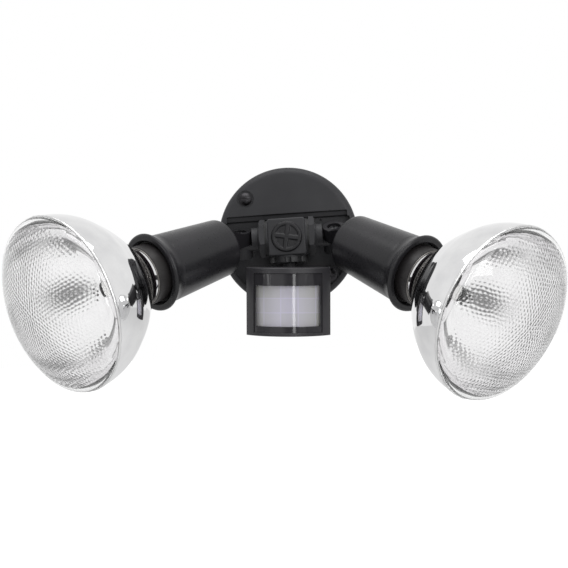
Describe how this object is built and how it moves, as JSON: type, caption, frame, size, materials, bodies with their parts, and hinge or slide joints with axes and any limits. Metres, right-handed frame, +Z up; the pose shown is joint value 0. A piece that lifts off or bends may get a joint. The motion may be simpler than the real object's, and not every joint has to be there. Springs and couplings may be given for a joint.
{
  "type": "motion sensor security light",
  "caption": "Black wall-mounted security light: swivelling PAR flood heads on a round canopy with a small motion sensor hanging below its hub.",
  "frame": {"origin": "middle of the two mounting screws, in the plane of the wall behind the gasket", "axes": "+X to the right as seen by someone facing the light, +Y into the wall, +Z up; the light faces -Y"},
  "size_m": [0.3853, 0.2047, 0.1769],
  "materials": {
    "satin_black": "satin",
    "black_foam": "matte",
    "black_screw": "satin",
    "brass": "satin",
    "black_nylon": "matte",
    "zinc_steel": "brushed",
    "black_rubber": "matte",
    "brown_phenolic": "matte",
    "mirrored_glass": "polished",
    "clear_glass": "polished",
    "bronzed_metal": "satin",
    "lamp_aluminium": "satin",
    "black_glass": "polished",
    "solder_metal": "satin",
    "black_plastic": "satin",
    "gloss_black_plastic": "polished",
    "milky_plastic": "satin",
    "green_laminate": "satin",
    "nickel_metal": "satin",
    "clear_plastic": "polished",
    "blue_plastic": "satin",
    "gray_plastic": "matte"
  },
  "bodies": {
    "base": {"canopy": "satin_black", "canopy_gasket": "black_foam", "canopy_screws": "black_screw", "ground_screw": "brass", "center_plug": "satin_black", "stem_nut": "black_nylon", "left_arm_gasket": "black_rubber", "left_arm_nut": "zinc_steel", "right_arm_gasket": "black_rubber", "right_arm_nut": "zinc_steel"},
    "left_arm": {"left_swivel_arm": "satin_black", "left_knuckle_nut": "zinc_steel", "left_knuckle_screw": "black_screw"},
    "left_holder": {"left_lampholder": "satin_black", "left_socket_body": "brown_phenolic", "left_socket_shell": "brass", "left_socket_contact": "brass", "left_socket_screws": "brass"},
    "left_lamp_slide": {"left_mouth_gasket": "black_rubber"},
    "left_lamp": {"left_lamp_reflector": "mirrored_glass", "left_lamp_lens": "clear_glass", "left_lamp_skirt": "bronzed_metal", "left_lamp_screw_shell": "lamp_aluminium", "left_lamp_insulator": "black_glass", "left_lamp_eyelet": "solder_metal", "left_lamp_burner": "clear_glass"},
    "right_arm": {"right_swivel_arm": "satin_black", "right_knuckle_nut": "zinc_steel", "right_knuckle_screw": "black_screw"},
    "right_holder": {"right_lampholder": "satin_black", "right_socket_body": "brown_phenolic", "right_socket_shell": "brass", "right_socket_contact": "brass", "right_socket_screws": "brass"},
    "right_lamp_slide": {"right_mouth_gasket": "black_rubber"},
    "right_lamp": {"right_lamp_reflector": "mirrored_glass", "right_lamp_lens": "clear_glass", "right_lamp_skirt": "bronzed_metal", "right_lamp_screw_shell": "lamp_aluminium", "right_lamp_insulator": "black_glass", "right_lamp_eyelet": "solder_metal", "right_lamp_burner": "clear_glass"},
    "stem": {"sensor_stem": "satin_black"},
    "liner": {"ball_liner": "black_nylon"},
    "sensor": {"sensor_rear": "black_plastic", "sensor_front": "black_plastic", "sensor_bezel": "gloss_black_plastic", "sensor_lens": "milky_plastic", "ball_retainer": "black_nylon", "retainer_screws": "zinc_steel", "case_screws": "zinc_steel", "sensor_board": "green_laminate", "pir_detector": "nickel_metal", "photocell": "clear_plastic", "relay": "blue_plastic", "range_pot": "blue_plastic", "time_switch": "gloss_black_plastic"},
    "range_knob": {"range_knob": "gray_plastic"},
    "time_slider": {"time_slider": "gray_plastic"}
  },
  "joints": [
    {"name": "left_arm_swivel", "type": "hinge", "parent": "base", "child": "left_arm", "pos_m": [-0.036, -0.0276, -0.001], "axis": [-1, 0, 0], "range_deg": [-40, 85]},
    {"name": "left_knuckle", "type": "hinge", "parent": "left_arm", "child": "left_holder", "pos_m": [-0.036, -0.0276, -0.001], "axis": [0, -0.319, 0.9478], "range_deg": [-25, 8]},
    {"name": "left_lamp_travel", "type": "slide", "parent": "left_holder", "child": "left_lamp_slide", "axis": [-0.66, -0.712, -0.2396], "range_m": [0, 0.01815]},
    {"name": "left_lamp_turn", "type": "hinge", "parent": "left_lamp_slide", "child": "left_lamp", "pos_m": [-0.036, -0.0276, -0.001], "axis": [-0.66, -0.712, -0.2396], "range_deg": [0, 1800]},
    {"name": "right_arm_swivel", "type": "hinge", "parent": "base", "child": "right_arm", "pos_m": [0.036, -0.0276, -0.001], "axis": [-1, 0, 0], "range_deg": [-29, 95]},
    {"name": "right_knuckle", "type": "hinge", "parent": "right_arm", "child": "right_holder", "pos_m": [0.036, -0.0276, -0.001], "axis": [0, 0.4924, -0.8704], "range_deg": [-25, 6]},
    {"name": "right_lamp_travel", "type": "slide", "parent": "right_holder", "child": "right_lamp_slide", "axis": [0.6239, -0.6802, -0.3848], "range_m": [0, 0.01815]},
    {"name": "right_lamp_turn", "type": "hinge", "parent": "right_lamp_slide", "child": "right_lamp", "pos_m": [0.036, -0.0276, -0.001], "axis": [0.6239, -0.6802, -0.3848], "range_deg": [0, 1800]},
    {"name": "sensor_pan", "type": "hinge", "parent": "base", "child": "stem", "pos_m": [0, -0.0276, -0.036], "axis": [0, 0, 1], "range_deg": [-10, 10]},
    {"name": "sensor_roll", "type": "hinge", "parent": "stem", "child": "liner", "pos_m": [0, -0.0276, -0.036], "axis": [0, 1, 0], "range_deg": [-5, 5]},
    {"name": "sensor_tilt", "type": "hinge", "parent": "liner", "child": "sensor", "pos_m": [0, -0.0276, -0.036], "axis": [0.9979, 0, -0.0645], "range_deg": [-15, 12]},
    {"name": "range_knob_turn", "type": "hinge", "parent": "sensor", "child": "range_knob", "pos_m": [-0.01306, -0.05757, -0.03647], "axis": [0.0645, -0.0436, 0.997], "range_deg": [-135, 135]},
    {"name": "time_slide", "type": "slide", "parent": "sensor", "child": "time_slider", "axis": [0.9979, 0, -0.0645], "range_m": [-0.004, 0.004]}
  ],
  "couplings": [
    {"joint": "left_lamp_travel", "follows": "left_lamp_turn", "m_per_rad": 0.00057757},
    {"joint": "right_lamp_travel", "follows": "right_lamp_turn", "m_per_rad": 0.00057757}
  ]
}
